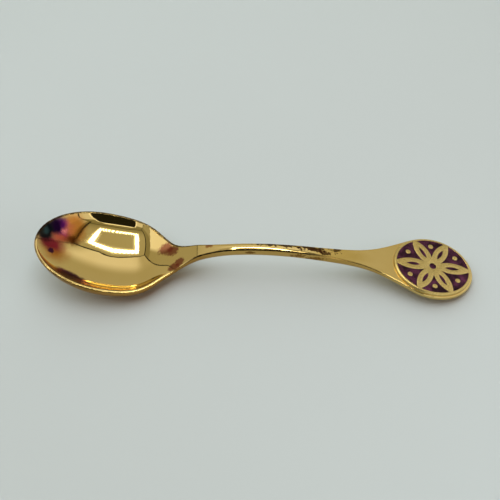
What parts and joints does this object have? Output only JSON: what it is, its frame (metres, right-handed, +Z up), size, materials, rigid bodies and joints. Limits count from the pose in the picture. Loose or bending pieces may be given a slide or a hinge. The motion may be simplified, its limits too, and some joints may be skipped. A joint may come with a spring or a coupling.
{
  "type": "teaspoon",
  "caption": "Gilt teaspoon with a shallow egg-shaped bowl, a slim arched stem and an oval paddle end that carries a raised plaque filled with aubergine enamel.",
  "frame": {"origin": "on the table, under the middle of the spoon's bounding box", "axes": "+X from the bowl's tip to the handle's end, +Y across the spoon to the rim that is far from the viewer, +Z up from the table"},
  "size_m": [0.135, 0.0308, 0.0124],
  "materials": {
    "gilt_metal": "polished gold plating",
    "gilt_plaque": "satin gold plating",
    "aubergine_enamel": "opaque vitreous enamel with a fine speckle"
  },
  "bodies": {
    "root": {"spoon": "gilt_metal", "emblem_plaque": "gilt_plaque", "enamel_eye": "aubergine_enamel", "enamel_ground_1": "aubergine_enamel", "enamel_ground_2": "aubergine_enamel", "enamel_ground_3": "aubergine_enamel", "enamel_ground_4": "aubergine_enamel", "enamel_ground_5": "aubergine_enamel", "enamel_ground_6": "aubergine_enamel", "enamel_drop_1": "aubergine_enamel", "enamel_drop_2": "aubergine_enamel", "enamel_drop_3": "aubergine_enamel", "enamel_drop_4": "aubergine_enamel", "enamel_drop_5": "aubergine_enamel", "enamel_drop_6": "aubergine_enamel"}
  },
  "joints": []
}
